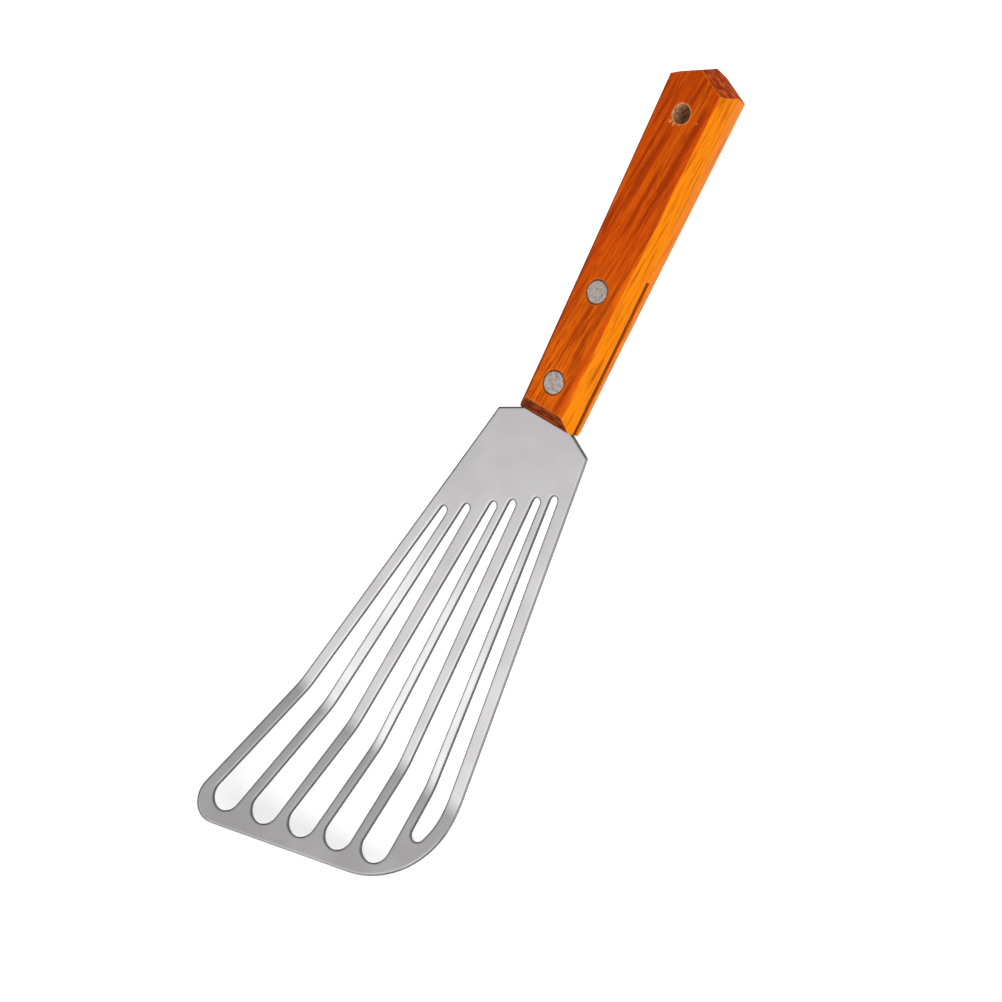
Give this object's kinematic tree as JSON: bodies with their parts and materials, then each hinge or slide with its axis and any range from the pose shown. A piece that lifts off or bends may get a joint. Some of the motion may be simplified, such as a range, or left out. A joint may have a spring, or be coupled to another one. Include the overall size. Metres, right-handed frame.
{
  "type": "kitchen turner",
  "caption": "Kitchen turner: a thin bent steel blade with fanned drain slots, riveted into the sawn kerf of a flat wooden handle with a hanging hole, for lifting and draining food.",
  "frame": {"origin": "on the handle's flat back face, on its centre line, midway between the rear rivet and the hanging hole", "axes": "+Y from the blade to the butt of the handle, +Z out of the handle's front face, the side that the blade's lip is bent towards, +X to the right seen from the front with the handle up"},
  "size_m": [0.0814, 0.2749, 0.0199],
  "materials": {
    "blade_steel": "stainless sheet, fine satin",
    "handle_wood": "hardwood, stained orange brown and varnished",
    "rivet_metal": "two-part rivet, faced flush with the wood"
  },
  "bodies": {
    "root": {"blade": "blade_steel", "handle": "handle_wood", "rivet_front_post": "rivet_metal", "rivet_front_sleeve": "rivet_metal", "rivet_rear_post": "rivet_metal", "rivet_rear_sleeve": "rivet_metal"}
  },
  "joints": []
}
